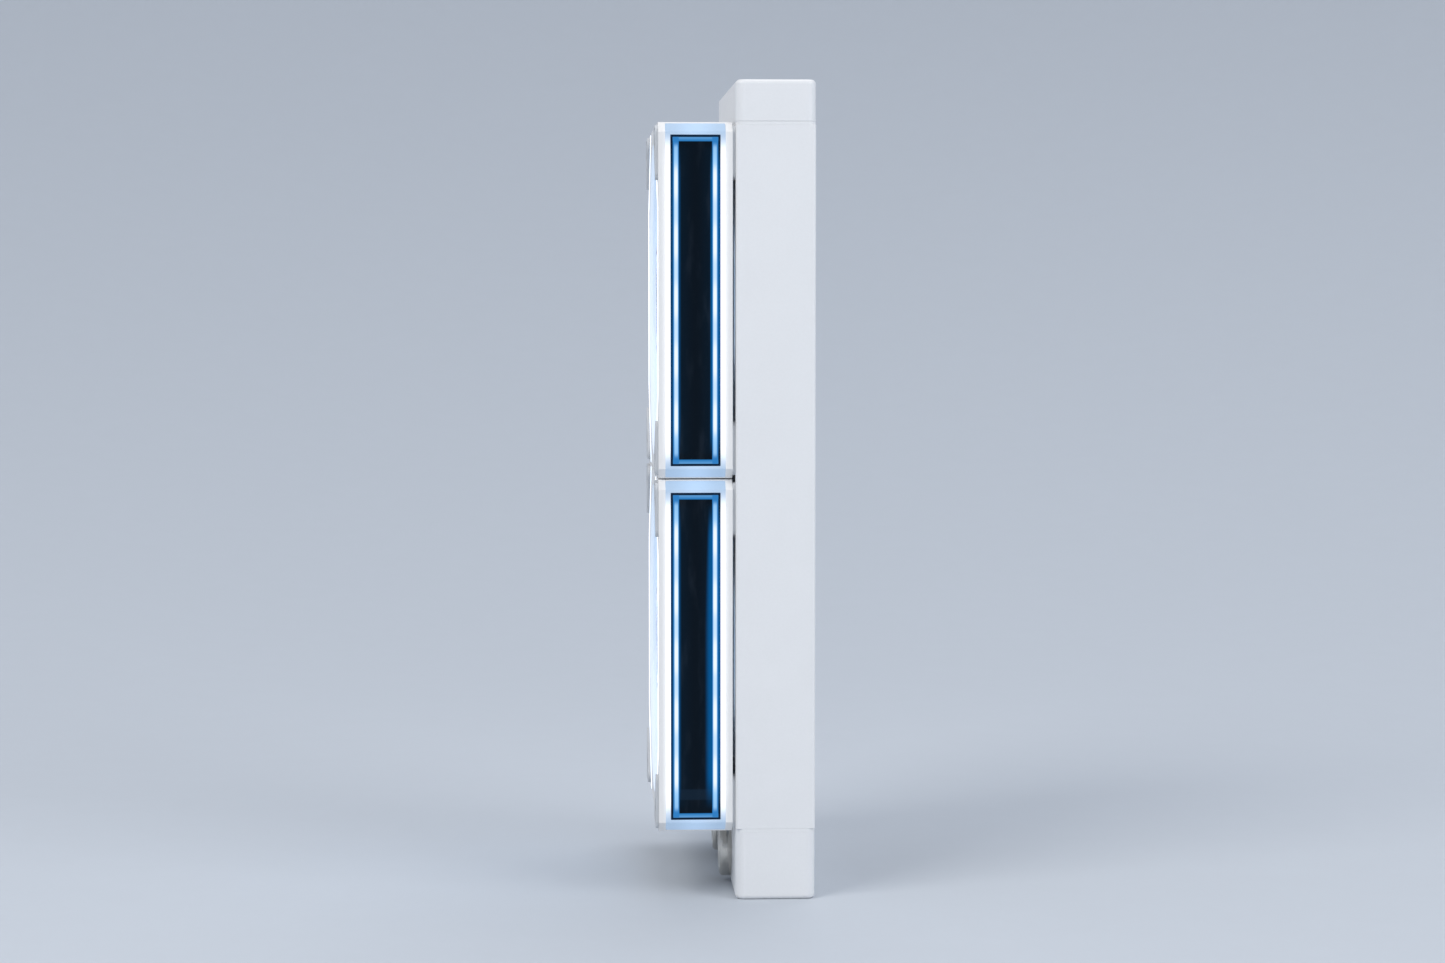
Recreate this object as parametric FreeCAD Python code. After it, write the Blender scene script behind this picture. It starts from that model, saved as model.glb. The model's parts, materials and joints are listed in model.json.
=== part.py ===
"""Liquid cooling radiator with two lit 120 mm fans: one solid or one group of equal solids per node.

Millimetres. The origin is the centre of the panel-side bolt pattern: +X points out of the radiator
towards the panel that it is screwed to, -X is the fans' front, +Z is up along the radiator, and the
mirrored edges of the fans face -Y and +Y.
"""
import FreeCAD, Part
import math
import os

V = FreeCAD.Vector
PAST = 1.0                  # how far a cutting shape runs past the face that it cuts

# ---- radiator -------------------------------------------------------------------------------
RAD_THICK = 27.0            # panel face to fan face, along X
RAD_HALF_W = 60.0           # half of the width, along Y
CORE_HALF = 120.0           # half of the length that the two fans cover, along Z
TANK_LOW = 23.0             # length of the tank with the ports
TANK_HIGH = 14.0            # length of the return tank
TANK_WALL = 1.5
TANK_ROUND = 3.0
PLATE = 1.2                 # header plate thickness
RAIL_SHEET = 1.0
RAIL_LIP = 12.0             # width of the side channel's flanges
RAIL_ROUND = 0.9            # outside of the side channel's bends
TUBE_COUNT = 14
TUBE_PITCH = 8.0
TUBE_THICK = 2.0
TUBE_DEEP = 16.0
TUBE_WALL = 0.35
TUBE_REACH = 2.0            # how far a coolant tube stands into a tank
FIN_FOLD = 6.0              # length of one fold of a fin strip along Z
FIN_SHEET = 0.3             # sheet measured across the core, 0.13 mm square to itself
FIN_GAP = 0.4               # fin strip to header plate
PORT_Y = 25.0
PORT_BOSS_R, PORT_BOSS_H = 9.5, 4.0
PORT_SPIGOT_R, PORT_SPIGOT_L = 7.5, 2.0
PORT_TAP_R = 5.9            # G 1/4 tapping radius
PORT_LEAD_IN = 0.8

# ---- screws and inserts ---------------------------------------------------------------------
HOLE_PITCH = 105.0          # of a 120 mm fan
INSERT_R, INSERT_HEAD_R, INSERT_HEAD_T = 2.4, 3.2, 3.0
PANEL_THREAD_R = 1.25       # M3 tapping radius
FAN_THREAD_R = 1.5
SCREW_R, SCREW_L = 1.47, 30.0
HEAD_R, HEAD_H, HEAD_CHAMFER = 2.75, 1.9, 0.3
HEAD_SINK = 1.0             # how deep a screw head's seat lies below the flange's face
SOCKET_AF, SOCKET_DEEP = 2.5, 1.4

# ---- fan frame ------------------------------------------------------------------------------
FAN = 120.0
FAN_SLIT = 0.2              # each frame stops this short of its 120 mm cell
FAN_DEPTH = 25.0            # flange face to flange face
FLANGE = 2.4
PAD_RISE = 1.0
CHAMFER = 3.3
DUCT_R, DUCT_WALL = 53.4, 1.6
MOUTH_FLARE = 1.2
SIDE_T = 3.0                # thickness of a lit side
END_WALL = 1.6
POST_R, CLEAR_R, SEAT_R = 3.4, 1.9, 3.1
PAD_IN, PAD_LEG, PAD_ROUND = 1.2, 22.1, 2.6
PAD_HOLE_R = 3.4
PAD_GROOVE_IN, PAD_GROOVE_W, PAD_GROOVE_DEEP = 1.0, 0.5, 0.3
MIRROR_W, MIRROR_L, MIRROR_T = 16.8, 111.0, 1.0
LIGHT_BORDER = 0.8          # dark border outside the side's light frame
LIGHT_LONG, LIGHT_SHORT, LIGHT_T = 1.7, 1.3, 1.2
REFLECTOR_T, REFLECTOR_IN = 0.6, 0.2
STRIP_W, STRIP_DEEP, STRIP_PROUD = 2.0, 1.4, 0.2
STRIP_EDGE = 3.2            # centre line of the face strip to the frame's edge
STRIP_BEND = 29.0           # where the strip turns, from the frame's corner
STRIP_END = 1.3             # end of the strip to the frame's edge
CONTACT_Y, CONTACT_W, CONTACT_X = 36.0, 14.0, 8.0
CONTACT_FIT = 0.1
CAP_DEEP = 4.0
SOCKET_BODY, SOCKET_WALL, SOCKET_FLOOR = 9.8, 1.3, 2.4

# ---- motor and rotor (depths are from the frame's front face) ---------------------------------
HUB_R, HUB_WALL, HUB_ROUND = 19.5, 1.5, 1.2
HUB_FRONT, HUB_FACE, HUB_FACE_T, HUB_END = 1.2, 3.2, 1.5, 17.2
HUB_MIRROR_R, HUB_MIRROR_T, HUB_MIRROR_SINK, HUB_MIRROR_FIT = 17.6, 0.8, 0.1, 0.1
HUB_LIGHT_OUT, HUB_LIGHT_IN = 16.3, 13.2
YOKE_T, YOKE_END = 1.0, 15.7
MAGNET_T, MAGNET_FRONT, MAGNET_END = 1.8, 6.2, 14.6
BOSS_R, BOSS_END = 3.2, 6.3
SHAFT_R, SHAFT_FRONT, SHAFT_END = 1.5, 3.9, 19.4
RUNNING = 0.05
GROOVE_R, GROOVE_FRONT, GROOVE_W = 1.15, 18.15, 0.6
CLIP_R, CLIP_T = 2.6, 0.5
SLEEVE_R, SLEEVE_FRONT, SLEEVE_END = 3.4, 7.0, 17.8
TOWER_R, TOWER_FRONT = 5.0, 6.8
STATOR_R, STATOR_FRONT, STATOR_END = 14.6, 7.4, 13.4
SHOE_T, NECK_W, RING_T, SLOT_W = 2.1, 4.0, 1.5, 2.5
POLES = 4
COIL_W, COIL_OVER, COIL_IN, COIL_OUT = 8.4, 1.0, 7.0, 11.6
BOARD_R, BOARD_T, BOARD_FIT = 16.6, 1.2, 0.2
DISH_R, DISH_WALL, DISH_FRONT, DISH_FLOOR = 18.3, 1.4, 18.4, 21.0
COVER_R, COVER_T = 17.0, 0.5
STRUT_W, STRUT_FRONT = 5.0, 20.8
BLADES = 7
BLADE_TIP_R = 52.2
BLADE_MID = 11.2            # depth of the blades' middle
# radius of the section, chord, pitch angle, thickness, camber, lean around the axis (degrees)
BLADE_SECTIONS = (
    (15.0, 19.0, 50.0, 2.6, 1.2, 0.0),
    (28.0, 25.0, 42.0, 2.3, 1.8, 4.0),
    (41.0, 30.0, 33.0, 2.0, 2.2, 10.0),
    (54.0, 34.0, 25.0, 1.8, 2.2, 19.0),
)

FAN_FACE = -RAD_THICK                       # the radiator's face that the fans' pads touch
REAR = FAN_FACE - PAD_RISE                  # rear flange's rear face
FRONT = REAR - FAN_DEPTH                    # front flange's front face
MID_X = (REAR + FRONT) / 2
INNER_FRONT = FRONT + FLANGE                # the flanges' inner faces
INNER_REAR = REAR - FLANGE
CELL = FAN / 2 - FAN_SLIT                   # half size of a frame
BOLT = HOLE_PITCH / 2
FANS = (("upper", FAN / 2), ("lower", -FAN / 2))
PORT_Z = -CORE_HALF - TANK_LOW / 2
CORE_X = -RAD_THICK / 2
TUBE_YS = [(i - (TUBE_COUNT - 1) / 2) * TUBE_PITCH for i in range(TUBE_COUNT)]
RADIATOR_BOLTS = [(y, fan_z + z) for _, fan_z in FANS for y in (-BOLT, BOLT) for z in (-BOLT, BOLT)]


# ---- shapes -----------------------------------------------------------------------------------
def block(x0, x1, y0, y1, z0, z1):
    """Box between two corners."""
    return Part.makeBox(x1 - x0, y1 - y0, z1 - z0, V(x0, y0, z0))


def rod(radius, x0, x1, y=0.0, z=0.0):
    """Cylinder along X."""
    return Part.makeCylinder(radius, x1 - x0, V(x0, y, z), V(1, 0, 0))


def pipe(outer, inner, x0, x1, y=0.0, z=0.0):
    """Hollow cylinder along X."""
    return rod(outer, x0, x1, y, z).cut(rod(inner, x0 - PAST, x1 + PAST, y, z))


def cone(r0, r1, x0, x1, y=0.0, z=0.0):
    """Cone along X, from radius r0 at x0 to radius r1 at x1."""
    return Part.makeCone(r0, r1, x1 - x0, V(x0, y, z), V(1, 0, 0))


def prism(points, x0, x1):
    """Outline of (y, z) points pushed along X."""
    corners = [V(x0, y, z) for y, z in points]
    return Part.Face(Part.makePolygon(corners + corners[:1])).extrude(V(x1 - x0, 0, 0))


def fused(shapes):
    """One solid from overlapping or touching shapes."""
    return shapes[0].multiFuse(shapes[1:]).removeSplitter()


def group(shapes):
    """Separate solids in one node."""
    return Part.makeCompound([solid for shape in shapes for solid in shape.Solids])


def both_sides(make):
    """The same piece for the -Y and the +Y side."""
    return group([make(-1), make(1)])


def turned(shape, degrees):
    """Copy turned about the fan's own axis."""
    return shape.rotated(V(0, 0, 0), V(1, 0, 0), degrees)


def at_depth(depth):
    """X of a depth below the frame's front face."""
    return FRONT + depth


def chamfered_square(half, cut, x0, x1):
    """Square plate with 45 degree corners."""
    corner = half - cut
    points = [(half, -corner), (half, corner), (corner, half), (-corner, half),
              (-half, corner), (-half, -corner), (-corner, -half), (corner, -half)]
    return prism(points, x0, x1)


def ribbon(points, width):
    """Outline of constant width around an open path of (y, z) points, with mitred bends."""
    left, right = [], []
    for i, (y, z) in enumerate(points):
        before = points[max(i - 1, 0)]
        after = points[min(i + 1, len(points) - 1)]
        into = V(0, y - before[0], z - before[1]) if i else V(0, after[0] - y, after[1] - z)
        out = V(0, after[0] - y, after[1] - z) if after != (y, z) else into
        mean = into.normalize() + out.normalize()
        mean.normalize()
        reach = width / 2 / math.cos(into.getAngle(out) / 2)
        left.append((y - mean.z * reach, z + mean.y * reach))
        right.append((y + mean.z * reach, z - mean.y * reach))
    return left + right[::-1]


# ---- radiator ---------------------------------------------------------------------------------
def tank(z_plate, z_end):
    """Hollow end tank, open where the header plate closes it."""
    z0, z1 = sorted((z_plate, z_end))
    shell = block(-RAD_THICK, 0, -RAD_HALF_W, RAD_HALF_W, z0, z1)
    upright = [e for e in shell.Edges if abs(e.Vertexes[0].Z - e.Vertexes[1].Z) > 1]
    shell = shell.makeFillet(TANK_ROUND, upright)
    rim = [e for e in shell.Edges
           if all(abs(v.Z - z_end) < 1e-6 for v in e.Vertexes)]
    shell = shell.makeFillet(TANK_WALL, rim)
    inner_end = z_end + math.copysign(TANK_WALL, z_plate - z_end)
    i0, i1 = sorted((z_plate, inner_end))
    wall = TANK_WALL
    return shell.cut(block(wall - RAD_THICK, -wall, wall - RAD_HALF_W, RAD_HALF_W - wall, i0, i1))


def tank_lower():
    """Tank with the two ports in its fan-side wall."""
    shell = tank(-CORE_HALF, -CORE_HALF - TANK_LOW)
    for y in (-PORT_Y, PORT_Y):
        shell = shell.cut(rod(PORT_SPIGOT_R, -RAD_THICK - PAST, TANK_WALL - RAD_THICK + PAST, y, PORT_Z))
    return shell


def tank_divider():
    """Wall that parts the inlet half of the lower tank from the outlet half."""
    floor = TANK_WALL - CORE_HALF - TANK_LOW
    return block(TANK_WALL - RAD_THICK, -TANK_WALL, -PLATE / 2, PLATE / 2, floor, -CORE_HALF)


def port_insert(y):
    """Threaded collar with its spigot soldered through the tank wall."""
    face = -RAD_THICK - PORT_BOSS_H
    inner = TANK_WALL + PORT_SPIGOT_L - RAD_THICK
    collar = rod(PORT_BOSS_R, face, -RAD_THICK, y, PORT_Z)
    collar = collar.makeChamfer(PORT_LEAD_IN, [e for e in collar.Edges
                                               if e.isClosed() and abs(e.CenterOfMass.x - face) < 1e-6])
    body = collar.fuse(rod(PORT_SPIGOT_R, -RAD_THICK, inner, y, PORT_Z)).removeSplitter()
    body = body.cut(rod(PORT_TAP_R, face - PAST, inner + PAST, y, PORT_Z))
    return body.cut(cone(PORT_TAP_R + PORT_LEAD_IN, PORT_TAP_R, face, face + PORT_LEAD_IN, y, PORT_Z))


def flat_tube(y, thick, deep, z0, z1):
    """Flat tube with round edges, standing along Z."""
    r = thick / 2
    reach = deep / 2 - r
    body = block(CORE_X - reach, CORE_X + reach, y - r, y + r, z0, z1)
    ends = [Part.makeCylinder(r, z1 - z0, V(CORE_X + side * reach, y, z0)) for side in (-1, 1)]
    return fused([body] + ends)


def coolant_tube(y):
    """Thin-walled flat tube from tank to tank."""
    end = CORE_HALF + TUBE_REACH
    outer = flat_tube(y, TUBE_THICK, TUBE_DEEP, -end, end)
    inner = flat_tube(y, TUBE_THICK - 2 * TUBE_WALL, TUBE_DEEP - 2 * TUBE_WALL, -end - PAST, end + PAST)
    return outer.cut(inner)


def header_plate(z0):
    """Plate between tank and core, with a slot around every coolant tube."""
    plate = block(-RAD_THICK, 0, -RAD_HALF_W, RAD_HALF_W, z0, z0 + PLATE)
    upright = [e for e in plate.Edges if abs(e.Vertexes[0].Z - e.Vertexes[1].Z) > PLATE / 2]
    plate = plate.makeFillet(TANK_ROUND, upright)
    slots = [flat_tube(y, TUBE_THICK, TUBE_DEEP, z0 - PAST, z0 + PLATE + PAST) for y in TUBE_YS]
    return plate.cut(Part.makeCompound(slots))


def fin_strip(y0, y1):
    """Folded sheet that zigzags between two tubes, or between a tube and a side channel."""
    half = CORE_HALF - PLATE - FIN_GAP
    folds = 4 * round(half / FIN_FOLD)
    crests = [y0 if i % 2 else y1 - FIN_SHEET for i in range(folds + 1)]
    path = [(y, -half + 2 * half * i / folds) for i, y in enumerate(crests)]
    back = [(y + FIN_SHEET, z) for y, z in reversed(path)]
    return prism(path + back, CORE_X - TUBE_DEEP / 2, CORE_X + TUBE_DEEP / 2)


def fin_strips():
    """A strip in every gap between tubes, and one outside each outer tube."""
    r = TUBE_THICK / 2
    web = RAD_HALF_W - RAIL_SHEET
    edges = [-web] + [y + side * r for y in TUBE_YS for side in (-1, 1)] + [web]
    return group([fin_strip(a, b) for a, b in zip(edges[::2], edges[1::2])])


def side_channel(side):
    """U-shaped rail along one side, with four insert holes in each flange."""
    end = CORE_HALF - PLATE
    y_out, y_web, y_lip = (side * (RAD_HALF_W - d) for d in (0, RAIL_SHEET, RAIL_LIP))
    outer = block(-RAD_THICK, 0, *sorted((y_out, y_lip)), -end, end)
    hollow = block(RAIL_SHEET - RAD_THICK, -RAIL_SHEET, *sorted((y_web, y_lip - side)), -end, end)
    rail = outer.cut(hollow)
    edges = [e for e in rail.Edges if all(abs(v.Y - y_out) < 1e-6 for v in e.Vertexes)
             and abs(e.Vertexes[0].Z - e.Vertexes[-1].Z) > end]
    rail = rail.makeFillet(RAIL_ROUND, edges)
    holes = [rod(INSERT_R, -RAD_THICK - PAST, PAST, y, z) for y, z in RADIATOR_BOLTS if y * side > 0]
    return rail.cut(Part.makeCompound(holes))


def insert(y, z, face, inward, thread_r):
    """Pressed-in threaded insert: shank in the flange, collar behind it."""
    behind = face + inward * RAIL_SHEET
    end = behind + inward * INSERT_HEAD_T
    shank = rod(INSERT_R, *sorted((face, behind)), y, z)
    collar = rod(INSERT_HEAD_R, *sorted((behind, end)), y, z)
    return shank.fuse(collar).removeSplitter().cut(rod(thread_r, -RAD_THICK - PAST, PAST, y, z))


def fan_screw(y, z):
    """Socket head screw through the frame's corner into the radiator's insert."""
    seat = FRONT + HEAD_SINK
    head = rod(HEAD_R, seat - HEAD_H, seat, y, z)
    rim = [e for e in head.Edges if e.isClosed() and abs(e.CenterOfMass.x - (seat - HEAD_H)) < 1e-6]
    head = head.makeChamfer(HEAD_CHAMFER, rim)
    corner = SOCKET_AF / math.sqrt(3)
    hexagon = [(y + corner * math.cos(math.radians(60 * i)), z + corner * math.sin(math.radians(60 * i)))
               for i in range(6)]
    head = head.cut(prism(hexagon, seat - HEAD_H - PAST, seat - HEAD_H + SOCKET_DEEP))
    return head.fuse(rod(SCREW_R, seat, seat + SCREW_L, y, z)).removeSplitter()


# ---- fan frame ----------------------------------------------------------------------------------
def corners():
    """Centres of the four screw holes."""
    return [(y, z) for y in (-BOLT, BOLT) for z in (-BOLT, BOLT)]


def strip_path(side):
    """Centre line of the face light: straight along the edge, turning in at 45 degrees."""
    edge = FAN / 2 - STRIP_EDGE
    bend = FAN / 2 - STRIP_BEND
    end = FAN / 2 - STRIP_END
    turn_in = end - bend
    return [(side * (edge - turn_in), -end), (side * edge, -bend),
            (side * edge, bend), (side * (edge - turn_in), end)]


def face_lights():
    """Light guides let into the front flange."""
    return group([prism(ribbon(strip_path(side), STRIP_W), FRONT - STRIP_PROUD, FRONT + STRIP_DEEP)
                  for side in (-1, 1)])


def front_frame():
    """Front flange with the flared mouth, grooves for the light guides and screw seats."""
    flange = chamfered_square(CELL, CHAMFER, FRONT, INNER_FRONT).cut(rod(DUCT_R, FRONT - PAST, REAR))
    flange = flange.cut(cone(DUCT_R + MOUTH_FLARE, DUCT_R, FRONT, FRONT + MOUTH_FLARE))
    for side in (-1, 1):
        groove = prism(ribbon(strip_path(side), STRIP_W), FRONT - PAST, FRONT + STRIP_DEEP)
        flange = flange.cut(groove)
    for y, z in corners():
        flange = flange.cut(rod(CLEAR_R, FRONT - PAST, REAR, y, z))
        flange = flange.cut(rod(SEAT_R, FRONT - PAST, FRONT + HEAD_SINK, y, z))
    return flange


def contact_window(sign, grow=0.0):
    """Window in an end wall that a contact block, cap or socket fills."""
    half_x, half_y = CONTACT_X / 2 + grow, CONTACT_W / 2 + grow
    z0, z1 = sorted((sign * (CELL + PAST), sign * (CELL - END_WALL - PAST)))
    return block(MID_X - half_x, MID_X + half_x, CONTACT_Y - half_y, CONTACT_Y + half_y, z0, z1)


def main_frame():
    """Duct, rear flange, end walls and screw posts."""
    outline = chamfered_square(CELL, CHAMFER, INNER_FRONT, REAR)
    pieces = [outline.common(block(INNER_REAR, REAR, -FAN, FAN, -FAN, FAN)),
              rod(DUCT_R + DUCT_WALL, INNER_FRONT, REAR)]
    wall_y = CELL - SIDE_T
    for sign in (-1, 1):
        z0, z1 = sorted((sign * (CELL - END_WALL), sign * CELL))
        wall = outline.common(block(INNER_FRONT, REAR, -wall_y, wall_y, z0, z1))
        pieces.append(wall.cut(contact_window(sign)))
    pieces += [rod(POST_R, INNER_FRONT, REAR, y, z) for y, z in corners()]
    holes = [rod(CLEAR_R, FRONT, REAR + PAST, y, z) for y, z in corners()]
    return fused(pieces).cut(Part.makeCompound([rod(DUCT_R, FRONT, REAR + PAST)] + holes))


def motor_mount():
    """Dish and bearing tower on four struts that end in the duct's wall."""
    back = REAR - COVER_T
    dish = rod(DISH_R, at_depth(DISH_FRONT), back)
    dish = dish.cut(rod(DISH_R - DISH_WALL, at_depth(DISH_FRONT) - PAST, at_depth(DISH_FLOOR)))
    root, end = DISH_R - DISH_WALL / 2, DUCT_R + PAST
    strut = block(at_depth(STRUT_FRONT), back, -STRUT_W / 2, STRUT_W / 2, root, end)
    strut = strut.common(rod(DUCT_R, FRONT, REAR))
    tower = rod(TOWER_R, at_depth(TOWER_FRONT), at_depth(DISH_FLOOR) + PAST)
    mount = fused([dish, tower] + [turned(strut, 45 + 90 * i) for i in range(4)])
    return mount.cut(rod(SLEEVE_R, at_depth(TOWER_FRONT) - PAST, at_depth(DISH_FLOOR)))


def side_slab(side, deep0, deep1, half_x, half_z):
    """Flat slab in a lit side, between two depths below the side's face."""
    y0, y1 = sorted((side * (CELL - deep0), side * (CELL - deep1)))
    return block(MID_X - half_x, MID_X + half_x, y0, y1, -half_z, half_z)


def side_diffuser(side):
    """Translucent side wall with a window for the mirror."""
    outline = chamfered_square(CELL, CHAMFER, INNER_FRONT, INNER_REAR)
    wall = outline.common(side_slab(side, 0, SIDE_T, FAN, FAN))
    return wall.cut(side_slab(side, -PAST, SIDE_T + PAST, MIRROR_W / 2, MIRROR_L / 2))


def side_mirror(side):
    """Half-silvered pane, flush with the side's face."""
    return side_slab(side, 0, MIRROR_T, MIRROR_W / 2, MIRROR_L / 2)


def side_light(side):
    """Light frame behind the pane."""
    half_x, half_z = MIRROR_W / 2 - LIGHT_BORDER, MIRROR_L / 2 - LIGHT_BORDER
    outer = side_slab(side, MIRROR_T, MIRROR_T + LIGHT_T, half_x, half_z)
    return outer.cut(side_slab(side, 0, SIDE_T, half_x - LIGHT_LONG, half_z - LIGHT_SHORT))


def side_reflector(side):
    """Full mirror behind the light frame."""
    front = MIRROR_T + LIGHT_T
    half_x, half_z = MIRROR_W / 2 - REFLECTOR_IN, MIRROR_L / 2 - REFLECTOR_IN
    return side_slab(side, front, front + REFLECTOR_T, half_x, half_z)


def pad_blank(inset, x0, x1):
    """Three-cornered slab with round corners, its outline pulled in by the inset."""
    near = FAN / 2 - PAD_IN - inset
    far = FAN / 2 - PAD_IN - PAD_LEG + inset * (1 + math.sqrt(2))
    slab = prism([(near, near), (far, near), (near, far)], x0, x1)
    upright = [e for e in slab.Edges if abs(e.Vertexes[0].X - e.Vertexes[1].X) > (x1 - x0) / 2]
    return slab.makeFillet(PAD_ROUND - inset, upright)


def corner_pads(x0, grooved_face):
    """Rubber pads with a hole for each screw, and grooves along the rim and around the hole."""
    x1 = x0 + PAD_RISE
    g0, g1 = grooved_face - PAD_GROOVE_DEEP, grooved_face + PAD_GROOVE_DEEP
    ring_in = PAD_HOLE_R + PAD_GROOVE_W
    ring = pipe(ring_in + PAD_GROOVE_W, ring_in, g0, g1, BOLT, BOLT)
    rim = pad_blank(PAD_GROOVE_IN, g0, g1).cut(pad_blank(PAD_GROOVE_IN + PAD_GROOVE_W, g0 - PAST, g1 + PAST))
    hole = rod(PAD_HOLE_R, x0 - PAST, x1 + PAST, BOLT, BOLT)
    pad = pad_blank(0, x0, x1).cut(Part.makeCompound([ring, rim])).cut(hole)
    return group([turned(pad, 90 * i) for i in range(4)])


# ---- motor ----------------------------------------------------------------------------------------
def stator_core():
    """Laminated core with four T-shaped poles."""
    x0, x1 = at_depth(STATOR_FRONT), at_depth(STATOR_END)
    shoes = pipe(STATOR_R, STATOR_R - SHOE_T, x0, x1)
    slot = block(x0 - PAST, x1 + PAST, -SLOT_W / 2, SLOT_W / 2, TOWER_R, STATOR_R + PAST)
    necks = []
    for i in range(POLES):
        angle = 360 / POLES * i
        shoes = shoes.cut(turned(slot, angle + 180 / POLES))
        neck = block(x0, x1, -NECK_W / 2, NECK_W / 2, TOWER_R + RING_T / 2, STATOR_R - SHOE_T / 2)
        necks.append(turned(neck, angle))
    return fused([pipe(TOWER_R + RING_T, TOWER_R, x0, x1), shoes] + necks)


def windings():
    """A coil around every pole's neck."""
    x0, x1 = at_depth(STATOR_FRONT), at_depth(STATOR_END)
    coil = block(x0 - COIL_OVER, x1 + COIL_OVER, -COIL_W / 2, COIL_W / 2, COIL_IN, COIL_OUT)
    coil = coil.makeFillet(COIL_OVER, [e for e in coil.Edges
                                       if abs(e.Vertexes[0].Z - e.Vertexes[1].Z) > 1])
    coil = coil.cut(block(x0, x1, -NECK_W / 2, NECK_W / 2, 0, STATOR_R))
    return group([turned(coil, 360 / POLES * i) for i in range(POLES)])


def shaft():
    """Steel shaft with a groove for its clip."""
    body = rod(SHAFT_R, at_depth(SHAFT_FRONT), at_depth(SHAFT_END))
    x0 = at_depth(GROOVE_FRONT)
    return body.cut(pipe(SHAFT_R + PAST, GROOVE_R, x0, x0 + GROOVE_W))


def blade_section(radius, chord, pitch, thick, camber, lean):
    """Lens-shaped section of a blade in the plane square to its radius."""
    a, p = math.radians(lean), math.radians(pitch)
    outward = V(0, math.sin(a), math.cos(a))
    around = V(0, math.cos(a), -math.sin(a))
    along = around * math.cos(p) + V(math.sin(p), 0, 0)
    normal = around * -math.sin(p) + V(math.cos(p), 0, 0)
    middle = outward * radius + V(at_depth(BLADE_MID), 0, 0)
    nose, tail = middle - along * (chord / 2), middle + along * (chord / 2)
    back = Part.Arc(nose, middle + normal * (camber + thick / 2), tail).toShape()
    face = Part.Arc(tail, middle + normal * (camber - thick / 2), nose).toShape()
    return Part.Wire([back, face])


def impeller():
    """Hub cup and blades in one moulding."""
    cup = rod(HUB_R, at_depth(HUB_FRONT), at_depth(HUB_END))
    rim = [e for e in cup.Edges
           if e.isClosed() and abs(e.CenterOfMass.x - at_depth(HUB_FRONT)) < 1e-6]
    cup = cup.makeFillet(HUB_ROUND, rim)
    cup = cup.cut(rod(HUB_MIRROR_R + HUB_MIRROR_FIT, at_depth(HUB_FRONT) - PAST, at_depth(HUB_FACE)))
    back = at_depth(HUB_FACE + HUB_FACE_T)
    cup = cup.cut(rod(HUB_R - HUB_WALL, back, at_depth(HUB_END) + PAST))
    cup = cup.fuse(rod(BOSS_R, back, at_depth(BOSS_END)))
    cup = cup.cut(rod(SHAFT_R, at_depth(SHAFT_FRONT), at_depth(BOSS_END) + PAST))
    blade = Part.makeLoft([blade_section(*row) for row in BLADE_SECTIONS], True)
    blade = blade.common(pipe(BLADE_TIP_R, HUB_R - HUB_WALL / 2, at_depth(0), at_depth(STRUT_FRONT)))
    return fused([cup] + [turned(blade, 360 / BLADES * i) for i in range(BLADES)])


# ---- nodes ----------------------------------------------------------------------------------------
def radiator_nodes():
    """Everything that doesn't belong to one of the fans."""
    fit = -CONTACT_FIT
    link = fused([contact_window(1, fit).translated(V(0, 0, -FAN / 2)),
                  contact_window(-1, fit).translated(V(0, 0, FAN / 2))])
    cap = contact_window(1, fit).common(block(-RAD_THICK - FAN, 0, -FAN, FAN, CELL - CAP_DEEP, CELL))
    return {
        "tank_lower": tank_lower(),
        "tank_upper": tank(CORE_HALF, CORE_HALF + TANK_HIGH),
        "tank_divider": tank_divider(),
        "header_plate_lower": header_plate(-CORE_HALF),
        "header_plate_upper": header_plate(CORE_HALF - PLATE),
        "port_inserts": group([port_insert(-PORT_Y), port_insert(PORT_Y)]),
        "coolant_tubes": group([coolant_tube(y) for y in TUBE_YS]),
        "fin_strips": fin_strips(),
        "side_channel_near": side_channel(-1),
        "side_channel_far": side_channel(1),
        "panel_side_inserts": group([insert(y, z, 0.0, -1, PANEL_THREAD_R)
                                     for y, z in RADIATOR_BOLTS]),
        "fan_side_inserts": group([insert(y, z, FAN_FACE, 1, FAN_THREAD_R)
                                   for y, z in RADIATOR_BOLTS]),
        "fan_screws": group([fan_screw(y, z) for y, z in RADIATOR_BOLTS]),
        "contact_link": link,
        "contact_cap": cap.translated(V(0, 0, FAN / 2)),
        "lead_socket": lead_socket().translated(V(0, 0, -FAN / 2)),
    }


def lead_socket():
    """Socket in the lower end wall that takes the fan lead's plug."""
    half_x, half_y = CONTACT_X / 2 - CONTACT_FIT, CONTACT_W / 2 - CONTACT_FIT
    x0, x1, y0, y1 = MID_X - half_x, MID_X + half_x, CONTACT_Y - half_y, CONTACT_Y + half_y
    wall, top = SOCKET_WALL, SOCKET_BODY - CELL
    body = block(x0, x1, y0, y1, -CELL, top)
    cavity = block(x0 + wall, x1 - wall, y0 + wall, y1 - wall, -CELL - PAST, top - SOCKET_FLOOR)
    return body.cut(cavity)


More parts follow.
